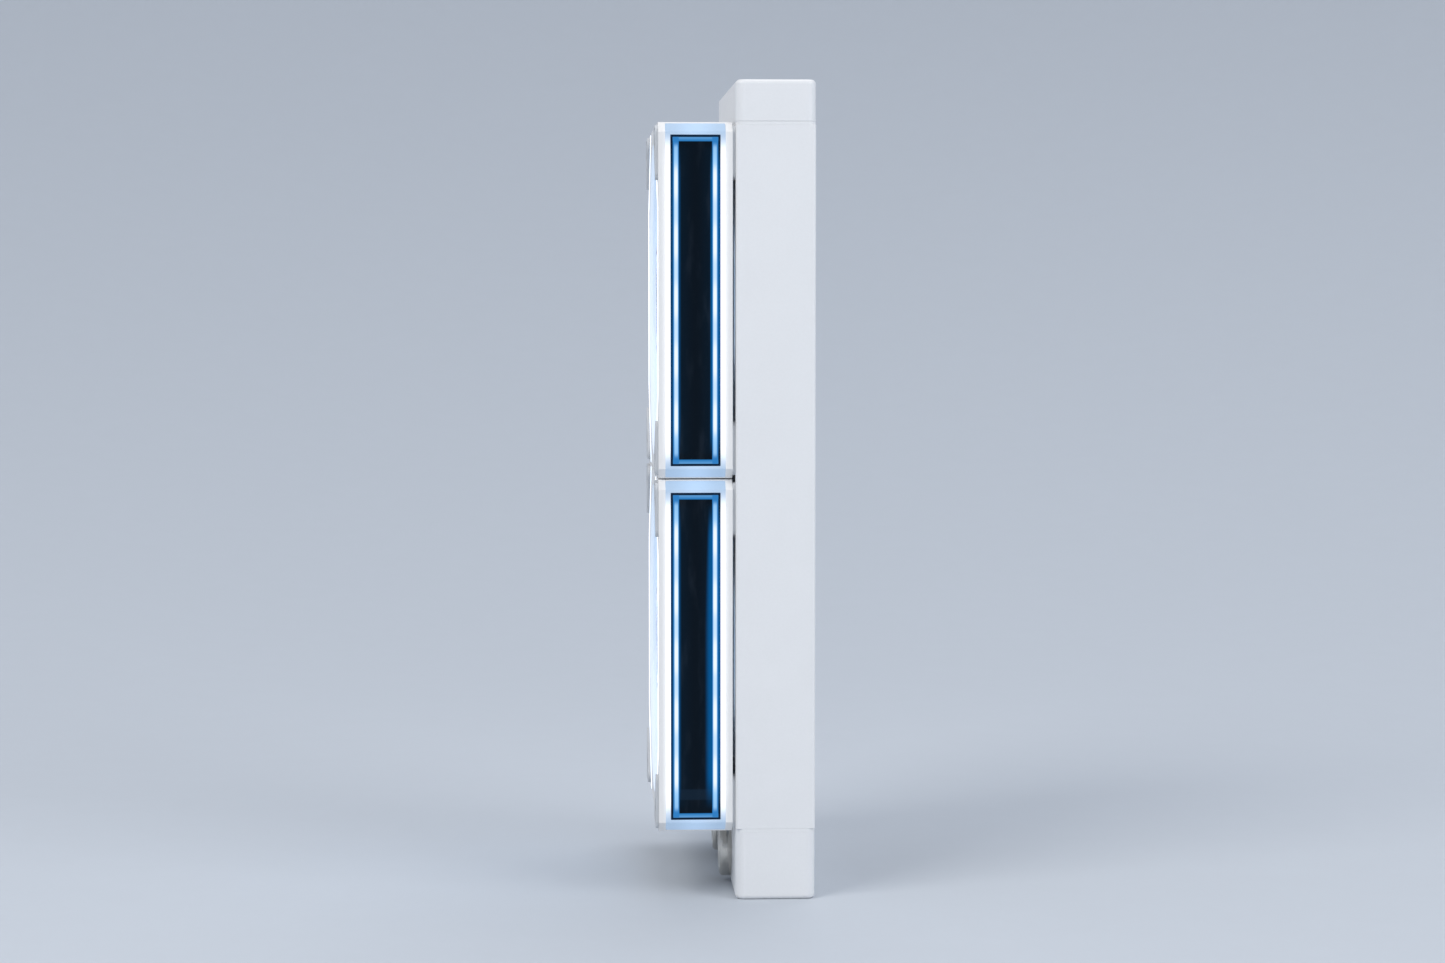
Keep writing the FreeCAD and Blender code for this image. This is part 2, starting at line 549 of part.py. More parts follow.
def fan_nodes():
    """One fan about its own axis: the static pieces and the turning ones."""
    mirror_x = at_depth(HUB_FRONT + HUB_MIRROR_SINK)
    floor_x = at_depth(DISH_FLOOR)
    hub_recess = HUB_R - HUB_WALL
    yoke = pipe(hub_recess, hub_recess - YOKE_T, at_depth(HUB_FACE + HUB_FACE_T), at_depth(YOKE_END))
    yoke_face = pipe(hub_recess, BOSS_R, at_depth(HUB_FACE + HUB_FACE_T),
                     at_depth(HUB_FACE + HUB_FACE_T + YOKE_T))
    magnet_r = hub_recess - YOKE_T
    clip_x = at_depth(GROOVE_FRONT) + (GROOVE_W - CLIP_T) / 2
    return {
        "front_frame": front_frame(),
        "main_frame": main_frame(),
        "motor_mount": motor_mount(),
        "side_diffusers": both_sides(side_diffuser),
        "side_mirrors": both_sides(side_mirror),
        "side_lights": both_sides(side_light),
        "side_reflectors": both_sides(side_reflector),
        "face_lights": face_lights(),
        "front_pads": corner_pads(FRONT - PAD_RISE, FRONT - PAD_RISE),
        "rear_pads": corner_pads(REAR, FAN_FACE),
        "motor_board": pipe(BOARD_R, TOWER_R + BOARD_FIT, floor_x - BOARD_T, floor_x),
        "stator_core": stator_core(),
        "windings": windings(),
        "bearing_sleeve": pipe(SLEEVE_R, SHAFT_R + RUNNING, at_depth(SLEEVE_FRONT), at_depth(SLEEVE_END)),
        "motor_cover": rod(COVER_R, REAR - COVER_T, REAR),
        "impeller": impeller(),
        "hub_mirror": rod(HUB_MIRROR_R, mirror_x, mirror_x + HUB_MIRROR_T),
        "hub_light": pipe(HUB_LIGHT_OUT, HUB_LIGHT_IN, mirror_x + HUB_MIRROR_T, at_depth(HUB_FACE)),
        "yoke_cup": fused([yoke, yoke_face]),
        "magnet_ring": pipe(magnet_r, magnet_r - MAGNET_T, at_depth(MAGNET_FRONT), at_depth(MAGNET_END)),
        "shaft": shaft(),
        "retaining_clip": pipe(CLIP_R, GROOVE_R, clip_x, clip_x + CLIP_T),
    }


def main():
    """Write one STEP file per node."""
    os.makedirs("parts", exist_ok=True)
    nodes = radiator_nodes()
    for name, shape in fan_nodes().items():
        for fan, z in FANS:
            nodes[f"{name}_{fan}"] = shape.translated(V(0, 0, z))
    for name, shape in nodes.items():
        shape.exportStep(f"parts/{name}.step")
    print(len(nodes), "nodes")


main()
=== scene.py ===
"""Looks of the liquid cooling radiator with two lit fans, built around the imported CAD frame.

Metres. +X is the panel side, -X the fans' front, +Z up; the fans' lit edges face -Y and +Y.
"""
import json
import math

import bmesh
import bpy
import numpy as np
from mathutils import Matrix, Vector

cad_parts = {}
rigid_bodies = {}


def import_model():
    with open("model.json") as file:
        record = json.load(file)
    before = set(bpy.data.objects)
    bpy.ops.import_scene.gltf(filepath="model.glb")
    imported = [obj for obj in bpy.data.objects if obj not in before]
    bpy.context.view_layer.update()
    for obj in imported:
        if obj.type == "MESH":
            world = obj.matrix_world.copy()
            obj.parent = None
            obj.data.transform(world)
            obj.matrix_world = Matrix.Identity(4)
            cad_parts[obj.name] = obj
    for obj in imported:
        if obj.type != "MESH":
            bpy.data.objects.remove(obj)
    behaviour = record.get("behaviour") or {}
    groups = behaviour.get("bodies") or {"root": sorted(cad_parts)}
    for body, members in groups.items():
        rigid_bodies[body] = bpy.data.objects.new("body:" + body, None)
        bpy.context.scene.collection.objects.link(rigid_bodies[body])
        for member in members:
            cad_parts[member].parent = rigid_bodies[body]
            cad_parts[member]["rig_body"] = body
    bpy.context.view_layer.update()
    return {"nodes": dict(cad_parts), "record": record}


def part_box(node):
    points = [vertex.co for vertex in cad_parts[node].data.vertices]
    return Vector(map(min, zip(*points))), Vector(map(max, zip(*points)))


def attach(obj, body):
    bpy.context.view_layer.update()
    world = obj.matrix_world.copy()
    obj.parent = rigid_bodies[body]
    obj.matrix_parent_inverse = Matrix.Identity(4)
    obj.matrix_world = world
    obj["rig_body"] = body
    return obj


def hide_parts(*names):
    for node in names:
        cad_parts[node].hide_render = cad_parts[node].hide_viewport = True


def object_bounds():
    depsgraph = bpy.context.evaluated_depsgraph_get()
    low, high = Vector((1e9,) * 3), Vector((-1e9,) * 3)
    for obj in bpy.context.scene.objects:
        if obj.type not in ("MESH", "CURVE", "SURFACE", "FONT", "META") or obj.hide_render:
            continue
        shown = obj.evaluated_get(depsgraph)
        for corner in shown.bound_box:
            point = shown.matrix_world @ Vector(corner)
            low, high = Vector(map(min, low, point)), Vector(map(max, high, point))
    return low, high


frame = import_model()

MM = 0.001
FANS = ("upper", "lower")
NODES = frame["nodes"]
pane_low, pane_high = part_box("side_mirrors_upper")
MID_X = (pane_low.x + pane_high.x) / 2          # middle of the fans' depth
FAN_Z = (pane_low.z + pane_high.z) / 2          # height of the upper fan's axis, the lower is below zero
PANE_HALF_W = (pane_high.x - pane_low.x) / 2 / MM
PANE_HALF_L = (pane_high.z - pane_low.z) / 2 / MM
FRONT_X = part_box("front_frame_upper")[0].x      # the front flange's face
wall_low, wall_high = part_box("side_diffusers_upper")
LIT_HALF_DEPTH = (wall_high.x - wall_low.x) / 2
GLOW_REACH = 2.2                                # mm of flange that the side wall's light shows through
DUCT_R, LIP = 53.4, 1.2                         # mm, the duct and the flare of its mouth
HUB_R = 19.5                                    # mm, the impeller's hub
PANE_LAMPS, FACE_LAMPS = 20.0, 12.0             # mm between the lamps behind the panes, and behind the faces
RELIEF = 0.05 * MM                              # depth of the grain on every finish
SAME_CAD_POINT, SAME_POINT = 2e-6, 1e-7         # m, corners nearer than this are one corner


# ---- node trees --------------------------------------------------------------------------------
class Wires:
    """Adds nodes to one tree. Any input takes a number, a colour or another node's output."""

    def __init__(self, tree):
        self.tree = tree

    def put(self, socket, value):
        """Joins another node's output to the socket, or sets the socket's own value."""
        if isinstance(value, bpy.types.NodeSocket):
            self.tree.links.new(value, socket)
        else:
            socket.default_value = value

    def add(self, kind, inputs=None, **settings):
        """A new node with its settings and its inputs."""
        node = self.tree.nodes.new(kind)
        for key, value in settings.items():
            setattr(node, key, value)
        for key, value in (inputs or {}).items():
            self.put(node.inputs[key], value)
        return node

    def math(self, operation, *values):
        """The result of one operation on numbers."""
        node = self.add("ShaderNodeMath", operation=operation)
        for socket, value in zip(node.inputs, values):
            self.put(socket, value)
        return node.outputs[0]

    def product(self, first, *others):
        for other in others:
            first = self.math("MULTIPLY", first, other)
        return first

    def ramp(self, value, low, high, to_low=0.0, to_high=1.0):
        """Smooth step of value from low to high."""
        inputs = {"Value": value, "From Min": low, "From Max": high, "To Min": to_low, "To Max": to_high}
        return self.add("ShaderNodeMapRange", inputs, interpolation_type="SMOOTHSTEP").outputs[0]

    def band(self, value, low, high, soft):
        """One between low and high, falling softly to nought outside."""
        rise = self.ramp(value, low - soft, low + soft)
        return self.math("MULTIPLY", rise, self.ramp(value, high - soft, high + soft, 1.0, 0.0))

    def stretch(self, vector, factor):
        """The vector, or the colour as a vector, times a number."""
        return self.add("ShaderNodeVectorMath", {0: vector, "Scale": factor}, operation="SCALE").outputs[0]

    def ripple(self, value, length, to_low, to_high):
        """Swings between two levels, high wherever value is a whole number of lengths."""
        wave = self.math("COSINE", self.math("MULTIPLY", value, 2 * math.pi / length))
        return self.ramp(wave, -1.0, 1.0, to_low, to_high)

    def mix(self, factor, first, second):
        """The first colour where the factor is nought, the second where it is one."""
        node = self.add("ShaderNodeMix", data_type="RGBA")
        for index, value in ((0, factor), (6, first), (7, second)):
            self.put(node.inputs[index], value)
        return node.outputs[2]

    def noise(self, vector, scale, detail=2.0):
        """Cloudy pattern between nought and one."""
        inputs = {"Vector": vector, "Scale": scale, "Detail": detail}
        return self.add("ShaderNodeTexNoise", inputs).outputs[0]

    def place(self):
        """Object coordinates in millimetres: the vector, then x, y and z."""
        point = self.add("ShaderNodeTexCoord").outputs["Object"]
        scaled = self.stretch(point, 1 / MM)
        parts = self.add("ShaderNodeSeparateXYZ", {0: scaled}).outputs
        return scaled, parts[0], parts[1], parts[2]


def colour(r, g, b):
    return (r, g, b, 1.0)


WHITE_LIGHT = colour(1.0, 1.0, 1.0)
FAR_LIGHT = colour(0.30, 0.52, 0.85)            # light that has come a long way through the plastic
DARK_MIRROR = colour(0.0005, 0.0005, 0.0008)


def surface_group():
    """Uneven shade, uneven gloss and a fine relief, the same everywhere in kind but not in size."""
    tree = bpy.data.node_groups.new("uneven_surface", "ShaderNodeTree")
    face = tree.interface
    face.new_socket("Colour", in_out="INPUT", socket_type="NodeSocketColor")
    for name in ("Mottle", "Gloss Spread", "Roughness", "Grain Scale", "Grain Depth"):
        face.new_socket(name, in_out="INPUT", socket_type="NodeSocketFloat")
    face.new_socket("Colour", in_out="OUTPUT", socket_type="NodeSocketColor")
    face.new_socket("Roughness", in_out="OUTPUT", socket_type="NodeSocketFloat")
    face.new_socket("Normal", in_out="OUTPUT", socket_type="NodeSocketVector")
    w = Wires(tree)
    given = w.add("NodeGroupInput").outputs
    point = w.place()[0]
    cloud = w.noise(point, 0.06, 4.0)
    grain = w.noise(point, given["Grain Scale"], 3.0)
    shade = w.math("MULTIPLY_ADD", w.math("SUBTRACT", cloud, 0.5), given["Mottle"], 1.0)
    fine = w.math("MULTIPLY_ADD", w.math("SUBTRACT", grain, 0.5), given["Mottle"], shade)
    tinted = w.stretch(given["Colour"], fine)
    gloss = w.math("MULTIPLY_ADD", w.math("SUBTRACT", cloud, 0.5), given["Gloss Spread"], given["Roughness"])
    bump = {"Height": grain, "Strength": given["Grain Depth"], "Distance": RELIEF}
    relief = w.add("ShaderNodeBump", bump).outputs[0]
    out = w.add("NodeGroupOutput").inputs
    for key, value in (("Colour", tinted), ("Roughness", gloss), ("Normal", relief)):
        w.put(out[key], value)
    return tree


SURFACE = surface_group()


def blank(name):
    """A new material with its shader, its wires, and the shader's inputs."""
    material = bpy.data.materials.new(name)
    material.use_nodes = True
    shader = material.node_tree.nodes["Principled BSDF"]
    return material, Wires(material.node_tree), shader.inputs


def surface(w, tint, rough, mottle=0.04, spread=0.10, grain=3.0, depth=0.15):
    """The shared uneven surface, placed in one material with its own values."""
    inputs = {"Colour": tint, "Mottle": mottle, "Gloss Spread": spread, "Roughness": rough,
              "Grain Scale": grain, "Grain Depth": depth}
    return w.add("ShaderNodeGroup", inputs, node_tree=SURFACE).outputs


def lay(w, shader, made):
    """Joins an uneven surface's shade, gloss and relief to the shader."""
    w.put(shader["Base Color"], made["Colour"])
    w.put(shader["Roughness"], made["Roughness"])
    w.put(shader["Normal"], made["Normal"])


def finish(name, tint, rough, metal=0.0, specular=0.5, coat=0.0, **look):
    """Plain finish: one tint with uneven shade, gloss and grain."""
    material, w, shader = blank(name)
    lay(w, shader, surface(w, tint, rough, **look))
    shader["Metallic"].default_value = metal
    shader["Specular IOR Level"].default_value = specular
    shader["Coat Weight"].default_value = coat
    return material


def from_fan_axis(w, y, z):
    """Height above the nearer fan's axis, and distance from that axis, in millimetres."""
    height = w.math("SUBTRACT", w.math("ABSOLUTE", z), FAN_Z / MM)
    across = w.math("MULTIPLY", y, y)
    return height, w.math("SQRT", w.math("MULTIPLY_ADD", height, height, across))


def side_diffuser_finish():
    """Frosted side wall with painted glow from the lamps behind it: white beside the pane, light blue past
    the pane's ends.
    """
    material, w, shader = blank("lit_side_wall")
    point, x, y, z = w.place()
    height, _ = from_fan_axis(w, y, z)
    reach = w.math("ABSOLUTE", height)
    cloud = w.math("MULTIPLY", w.noise(point, 0.12, 3.0), 3.0)
    lit = w.ramp(w.math("ADD", reach, cloud), 50.0, 58.5, 1.0, 0.0)
    # the painted glow past the pane's ends is brighter at the middle of the wall's depth
    flare = w.ramp(w.math("ABSOLUTE", w.math("SUBTRACT", x, MID_X / MM)), 0.0, 9.0, 1.15, 0.9)
    end = w.stretch((0.26, 0.375, 0.54), flare)
    lay(w, shader, surface(w, colour(0.22, 0.27, 0.32), 0.38, grain=4.0, depth=0.10))
    w.put(shader["Emission Color"], w.mix(lit, end, WHITE_LIGHT))
    shader["Emission Strength"].default_value = 1.0
    return material


def side_pane_finish():
    """Half-silvered pane, painted in its emission: dark border, bright lit frame, its deep blue
    painted reflections, and a painted dark depth.

    The lit frame's long lines are white in their middle and blue along both edges, and swell a little
    beside each lamp behind them. The painted reflection on the panel side is stronger, and wider on the
    lower fan.
    """
    material, w, shader = blank("lit_side_pane")
    point, x, y, z = w.place()
    height, _ = from_fan_axis(w, y, z)
    offset = w.math("SUBTRACT", x, MID_X / MM)
    in_x = w.math("SUBTRACT", PANE_HALF_W, w.math("ABSOLUTE", offset))
    in_z = w.math("SUBTRACT", PANE_HALF_L, w.math("ABSOLUTE", height))
    inside = w.math("MINIMUM", in_x, in_z)
    border, long_w, short_w, soft = 0.8, 2.0, 1.4, 0.14     # the dark border, and the lit frame's lines
    blobs = w.ripple(z, PANE_LAMPS, 0.74, 1.0)
    corner, full = 4.8, 15.0                                # mm in, where the lines are half and fully lit
    ends = w.math("ADD", w.ramp(in_z, 1.9, corner, 0.0, 0.55), w.ramp(in_z, 4.0, full, 0.0, 0.45))
    core = w.band(in_x, border + 0.42, border + long_w - 0.30, 0.26)
    hot = w.product(core, blobs, ends)
    long_side = w.math("MULTIPLY", w.band(in_x, border, border + long_w, soft), w.ramp(in_z, 0.6, 1.0))
    short_side = w.math("MULTIPLY", w.band(in_z, border, border + short_w, soft), w.ramp(in_x, 0.6, 1.0))
    # painted reflection of the lit frame's long lines, deep blue, just inside them
    past = w.math("SUBTRACT", in_x, border + long_w)
    rear = w.ramp(offset, -1.0, 1.0, 0.0, 1.0)
    width = w.math("MULTIPLY_ADD", w.math("MULTIPLY", rear, w.ramp(z, 30.0, -60.0)), 1.5, 0.7)
    reflection = w.ramp(w.math("DIVIDE", past, width), 0.3, 1.25, 1.0, 0.0)
    reflection = w.product(reflection, w.ramp(rear, 0.0, 1.0, 0.42, 1.0), w.ramp(in_z, 3.0, 16.0))
    # painted faint blue glow just inside the lit lines
    glow_beside_lines = w.math("MULTIPLY", w.ramp(in_x, 2.5, 8.4, 1.0, 0.0), w.ramp(in_z, 2.0, 6.0))
    # painted faint lighter band near the bottom end of the lower fan's pane
    foot = w.product(w.band(in_z, 6.8, 10.4, 0.3), w.ramp(z, -90.0, -100.0), w.ramp(in_x, 2.9, 3.1))
    # dust streaks, shown only as faint painted glow on the dark pane
    streaks = w.add("ShaderNodeVectorMath", {0: point, 1: (0.25, 0.25, 0.05)}, operation="MULTIPLY")
    dust_glow = w.ramp(w.noise(streaks.outputs[0], 1.2, 5.0), 0.5, 0.8, 0.0, 1.0)
    # painted dark navy depth, with a faint painted blue at the pane's very edge
    light = w.mix(w.ramp(inside, 0.1, border), colour(0.004, 0.020, 0.055), colour(0.0013, 0.0050, 0.0108))
    light = w.mix(w.math("MULTIPLY", glow_beside_lines, 0.22), light, colour(0.0, 0.020, 0.050))
    light = w.mix(w.math("MULTIPLY", dust_glow, 0.09), light, colour(0.07, 0.10, 0.15))
    light = w.mix(w.math("MULTIPLY", foot, 0.7), light, colour(0.006, 0.018, 0.038))
    light = w.mix(reflection, light, colour(0.0, 0.085, 0.27))
    end_line = w.mix(w.ramp(in_z, 0.9, 2.2), colour(0.10, 0.32, 0.66), colour(0.020, 0.19, 0.50))
    light = w.mix(short_side, light, end_line)
    line = w.mix(w.ramp(hot, 0.0, 0.55), colour(0.030, 0.21, 0.55), colour(0.34, 0.65, 1.0))
    line = w.mix(w.ramp(hot, 0.5, 1.0), line, colour(0.88, 0.96, 1.0))
    light = w.mix(long_side, light, line)
    w.put(shader["Emission Color"], light)
    shader["Emission Strength"].default_value = 1.0
    shader["Base Color"].default_value = DARK_MIRROR
    w.put(shader["Roughness"], w.ramp(w.noise(point, 0.08, 4.0), 0.3, 0.8, 0.05, 0.16))
    shader["Specular IOR Level"].default_value = 0.06
    return material


def frame_finish():
    """White moulding with painted glow where the side wall's and the rotor's light shows through it a
    little.

    The glow follows the side wall along both flanges, and rings the duct: strongest at the mouth's
    rounded lip, faint on the duct's wall and the struts.
    """
    material, w, shader = blank("white_frame_moulding")
    lay(w, shader, surface(w, colour(0.82, 0.815, 0.805), 0.40, grain=3.5, depth=0.12))
    _, x, y, z = w.place()
    height, radius = from_fan_axis(w, y, z)
    band_edge = LIT_HALF_DEPTH / MM
    away = w.math("ABSOLUTE", w.math("SUBTRACT", x, MID_X / MM))
    beside = w.ramp(away, band_edge - 0.2, band_edge + GLOW_REACH, 1.0, 0.0)
    outside = w.ramp(w.math("ABSOLUTE", y), 55.0, 59.5)
    along = w.ramp(w.math("ABSOLUTE", height), 44.0, 58.0, 1.0, 0.30)
    flange_glow = w.product(beside, beside, outside, along, 0.22)
    lip_glow = w.math("MULTIPLY", w.band(radius, DUCT_R - 0.3, DUCT_R + LIP, 0.35), 0.34)
    wall_glow = w.ramp(radius, DUCT_R - 0.3, DUCT_R + 0.1, 0.16, 0.0)
    duct_glow = w.math("ADD", lip_glow, wall_glow)
    tint = w.mix(along, FAR_LIGHT, colour(0.95, 0.97, 1.0))
    share = w.math("DIVIDE", duct_glow, w.math("ADD", w.math("ADD", duct_glow, flange_glow), 1e-4))
    w.put(shader["Emission Color"], w.mix(share, tint, colour(0.42, 0.66, 1.0)))
    w.put(shader["Emission Strength"], w.math("ADD", flange_glow, duct_glow))
    return material


def face_light_finish():
    """Light guide in the front flange, brightest at its middle."""
    material, w, shader = blank("lit_face_strip")
    _, _, y, z = w.place()
    height, _ = from_fan_axis(w, y, z)
    lit = w.ramp(w.math("ABSOLUTE", height), 30.0, 62.0, 1.0, 0.55)
    blobs = w.ripple(z, FACE_LAMPS, 0.85, 1.0)
    w.put(shader["Emission Color"], w.mix(w.math("MULTIPLY", lit, blobs), FAR_LIGHT, WHITE_LIGHT))
    shader["Emission Strength"].default_value = 1.3
    shader["Base Color"].default_value = colour(0.6, 0.68, 0.75)
    shader["Roughness"].default_value = 0.3
    return material


def impeller_finish():
    """Frosted blades with painted glow near the hub, fading outward, on a white hub with faint painted glow.
    """
    material, w, shader = blank("frosted_impeller")
    _, _, y, z = w.place()
    _, radius = from_fan_axis(w, y, z)
    glow = w.math("POWER", w.ramp(radius, 17.0, 50.0, 1.0, 0.0), 1.5)
    light = w.mix(glow, colour(0.05, 0.09, 0.16), colour(0.80, 0.90, 1.0))
    hub = w.ramp(radius, HUB_R - 0.05, HUB_R + 0.2, 1.0, 0.0)
    light = w.mix(hub, light, colour(0.10, 0.16, 0.24))
    tint = w.mix(hub, colour(0.60, 0.70, 0.80), colour(0.80, 0.81, 0.82))
    lay(w, shader, surface(w, tint, 0.36, mottle=0.05, grain=5.0, depth=0.12))
    w.put(shader["Emission Color"], light)
    shader["Emission Strength"].default_value = 0.8
    shader["Subsurface Weight"].default_value = 0.25
    shader["Subsurface Scale"].default_value = 2 * MM
    return material


def hub_pane_finish():
    """Round half-silvered pane, painted in its emission: deep blue rim, lit ring with a bluer inner
    edge, a faint painted reflection of the ring, and a painted dark navy depth in the disc.
    """
    material, w, shader = blank("lit_hub_pane")
    point, _, y, z = w.place()
    height, radius = from_fan_axis(w, y, z)
    lamps = 8
    blobs = w.ripple(w.math("ARCTAN2", y, height), 2 * math.pi / lamps, 0.82, 1.0)
    ring = w.band(radius, 13.2, 16.3, 0.18)
    # painted reflection of the lit ring, just inside it
    reflection = w.band(radius, 11.2, 12.4, 0.6)
    # dust, shown only as faint painted glow on the dark pane
    dust_glow = w.ramp(w.noise(point, 0.5, 5.0), 0.5, 0.8, 0.0, 1.0)
    # painted dark navy depth, a little bluer towards the lit ring
    light = w.mix(w.ramp(radius, 2.0, 13.0), colour(0.002, 0.032, 0.095), colour(0.001, 0.050, 0.150))
    light = w.mix(w.math("MULTIPLY", reflection, 0.35), light, colour(0.002, 0.10, 0.28))
    light = w.mix(w.math("MULTIPLY", dust_glow, 0.06), light, colour(0.10, 0.14, 0.20))
    inner = w.mix(w.ramp(radius, 13.7, 14.5), colour(0.22, 0.40, 0.80), colour(0.66, 0.80, 1.0))
    light = w.mix(ring, light, w.stretch(inner, blobs))
    # painted deep blue glow outside the lit ring, out to the rim
    light = w.mix(w.ramp(radius, 16.3, 16.7), light, colour(0.003, 0.032, 0.130))
    w.put(shader["Emission Color"], light)
    shader["Emission Strength"].default_value = 1.0
    shader["Base Color"].default_value = DARK_MIRROR
    w.put(shader["Roughness"], w.ramp(w.noise(point, 0.1, 4.0), 0.3, 0.8, 0.05, 0.15))
    shader["Specular IOR Level"].default_value = 0.12
    return material


def fin_finish():
    """Thin sheet with louvre slits across its depth, painted darker in the slits for their shade."""
    material, w, shader = blank("louvred_fins")
    x, louvre = w.place()[1], 1.6
    made = surface(w, colour(0.74, 0.76, 0.78), 0.34, mottle=0.06, grain=2.0, depth=0.1)
    # painted shade in the louvre slits, which also give their relief
    shaded_slits = w.ramp(w.math("COSINE", w.math("MULTIPLY", x, 2 * math.pi / louvre)), 0.2, 0.9)
    shade = w.mix(w.math("MULTIPLY", shaded_slits, 0.45), made["Colour"], colour(0.25, 0.26, 0.28))
    w.put(shader["Base Color"], shade)
    bump = {"Height": shaded_slits, "Strength": 0.5, "Distance": 0.3 * MM, "Normal": made["Normal"]}
    w.put(shader["Normal"], w.add("ShaderNodeBump", bump).outputs[0])
    w.put(shader["Roughness"], made["Roughness"])
    shader["Metallic"].default_value = 0.85
    return material


def winding_finish():
    """Enamelled copper wire: fine turns as ridges."""
    material, w, shader = blank("copper_windings")
    _, _, y, z = w.place()
    _, radius = from_fan_axis(w, y, z)
    wire = 0.35
    turns = w.math("SINE", w.math("MULTIPLY", radius, 2 * math.pi / wire))
    bump = {"Height": turns, "Strength": 0.6, "Distance": 0.1 * MM}
    w.put(shader["Normal"], w.add("ShaderNodeBump", bump).outputs[0])
    made = surface(w, colour(0.62, 0.24, 0.10), 0.3)
    w.put(shader["Base Color"], made["Colour"])
    w.put(shader["Roughness"], made["Roughness"])
    shader["Metallic"].default_value = 0.9
    return material


MATERIALS = {
    "white_plastic": frame_finish(),
    "white_paint": finish("white_powder_coat", colour(0.80, 0.805, 0.81), 0.36, grain=1.1, depth=0.30),
    "pad_rubber": finish("grey_rubber", colour(0.60, 0.62, 0.64), 0.70, mottle=0.08, grain=6.0, depth=0.4,
                         specular=0.3),
    "black_screw": finish("black_oxide", colour(0.035, 0.035, 0.038), 0.28, metal=0.6, mottle=0.3,
                          grain=5.0),
    "nickel": finish("satin_nickel", colour(0.62, 0.60, 0.56), 0.24, metal=1.0, grain=2.0, depth=0.08),
    "zinc": finish("zinc_plate", colour(0.55, 0.56, 0.58), 0.34, metal=1.0, grain=2.5, depth=0.2),
    "brazed_brass": finish("brazed_brass", colour(0.55, 0.40, 0.17), 0.4, metal=1.0),
    "tube_aluminium": finish("drawn_tube", colour(0.70, 0.71, 0.73), 0.38, metal=0.9, grain=2.0),
    "circuit_board": finish("solder_mask", colour(0.02, 0.035, 0.028), 0.3, mottle=0.3, grain=1.5, coat=0.3),
    "core_steel": finish("core_laminations", colour(0.30, 0.30, 0.31), 0.45, metal=1.0),
    "bearing_bronze": finish("sintered_bronze", colour(0.42, 0.25, 0.10), 0.5, metal=1.0, grain=5.0,
                             depth=0.4),
    "cover_film": finish("blank_film", colour(0.70, 0.71, 0.72), 0.25, metal=0.5, grain=0.8, depth=0.05),
    "yoke_steel": finish("pressed_yoke", colour(0.40, 0.41, 0.42), 0.35, metal=1.0),
    "magnet": finish("bonded_ferrite", colour(0.035, 0.032, 0.030), 0.75, grain=6.0, depth=0.3),
    "shaft_steel": finish("ground_shaft", colour(0.62, 0.63, 0.64), 0.2, metal=1.0),
    "clip_plastic": finish("clip_moulding", colour(0.72, 0.70, 0.64), 0.5),
    "reflector": finish("mirror_film", colour(0.35, 0.40, 0.46), 0.08, metal=1.0),
    "diffuser": side_diffuser_finish(),
    "mirror_pane": side_pane_finish(),
    "face_light": face_light_finish(),
    "frosted_plastic": impeller_finish(),
    "hub_mirror": hub_pane_finish(),
    "fin_aluminium": fin_finish(),
    "copper_wire": winding_finish(),
}
MATERIALS["light_frame"] = MATERIALS["hub_light"] = MATERIALS["face_light"]
NODE_SLOTS = {row["node"]: row["material_slot"] for row in frame["record"]["subparts"]}


# ---- shapes ------------------------------------------------------------------------------------
def dress(piece, body, slot, *replaced):
    """Gives a finished piece its material, its body and the CAD nodes that it stands for."""
    piece.data.materials.clear()
    piece.data.materials.append(MATERIALS[slot])
    bpy.context.scene.collection.objects.link(piece)
    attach(piece, body)
    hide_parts(*replaced)
    return piece


def mesh_piece(name, points, faces):
    """Object from an array of points in millimetres and lists of faces, doubles merged, smooth."""
    mesh = bpy.data.meshes.new(name)
    mesh.from_pydata((np.asarray(points) * MM).tolist(), [], faces)
    form = bmesh.new()
    form.from_mesh(mesh)
    bmesh.ops.remove_doubles(form, verts=form.verts, dist=SAME_POINT)
    bmesh.ops.recalc_face_normals(form, faces=form.faces)
    form.to_mesh(mesh)
    form.free()
    mesh.shade_smooth()
    return bpy.data.objects.new(name, mesh)


def split_sharp_edges(piece, degrees):
    """Edges that turn by more than the angle shade as sharp."""
    piece.data.set_sharp_from_angle(angle=math.radians(degrees))


def rows_of_quads(rows, columns, start=0):
    """Quads over a grid of points, closed across its columns."""
    i, j = np.meshgrid(np.arange(rows - 1), np.arange(columns), indexing="ij")
    after = (j + 1) % columns
    here, next_row = i * columns, (i + 1) * columns
    quads = np.stack([here + j, here + after, next_row + after, next_row + j], -1)
    return (quads.reshape(-1, 4) + start).tolist()


def ease_edges(piece, width):
    """Rounds the edges sharper than 30 degrees and keeps flat faces flat in the shading."""
    bevel = piece.modifiers.new("rounded_edges", "BEVEL")
    bevel.width = width * MM
    bevel.segments = 2
    bevel.limit_method = "ANGLE"
    bevel.angle_limit = math.radians(30)
    bevel.use_clamp_overlap = True
    flat = piece.modifiers.new("flat_faces", "WEIGHTED_NORMAL")
    flat.mode = "FACE_AREA"
    flat.weight = 100
    flat.thresh = 0.0001


def eased_copy(node, width):
    """A CAD node with its triangles joined into flat faces and its edges rounded."""
    mesh = NODES[node].data.copy()
    mesh.name = f"{node}_eased"
    form = bmesh.new()
    form.from_mesh(mesh)
    bmesh.ops.remove_doubles(form, verts=form.verts, dist=SAME_CAD_POINT)
    bmesh.ops.dissolve_limit(form, angle_limit=math.radians(1), verts=form.verts, edges=form.edges,
                             delimit={"NORMAL"})
    form.to_mesh(mesh)
    form.free()
    mesh.shade_smooth()
    piece = bpy.data.objects.new(f"{node}_eased", mesh)
    ease_edges(piece, width)
    return dress(piece, NODES[node]["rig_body"], NODE_SLOTS[node], node)


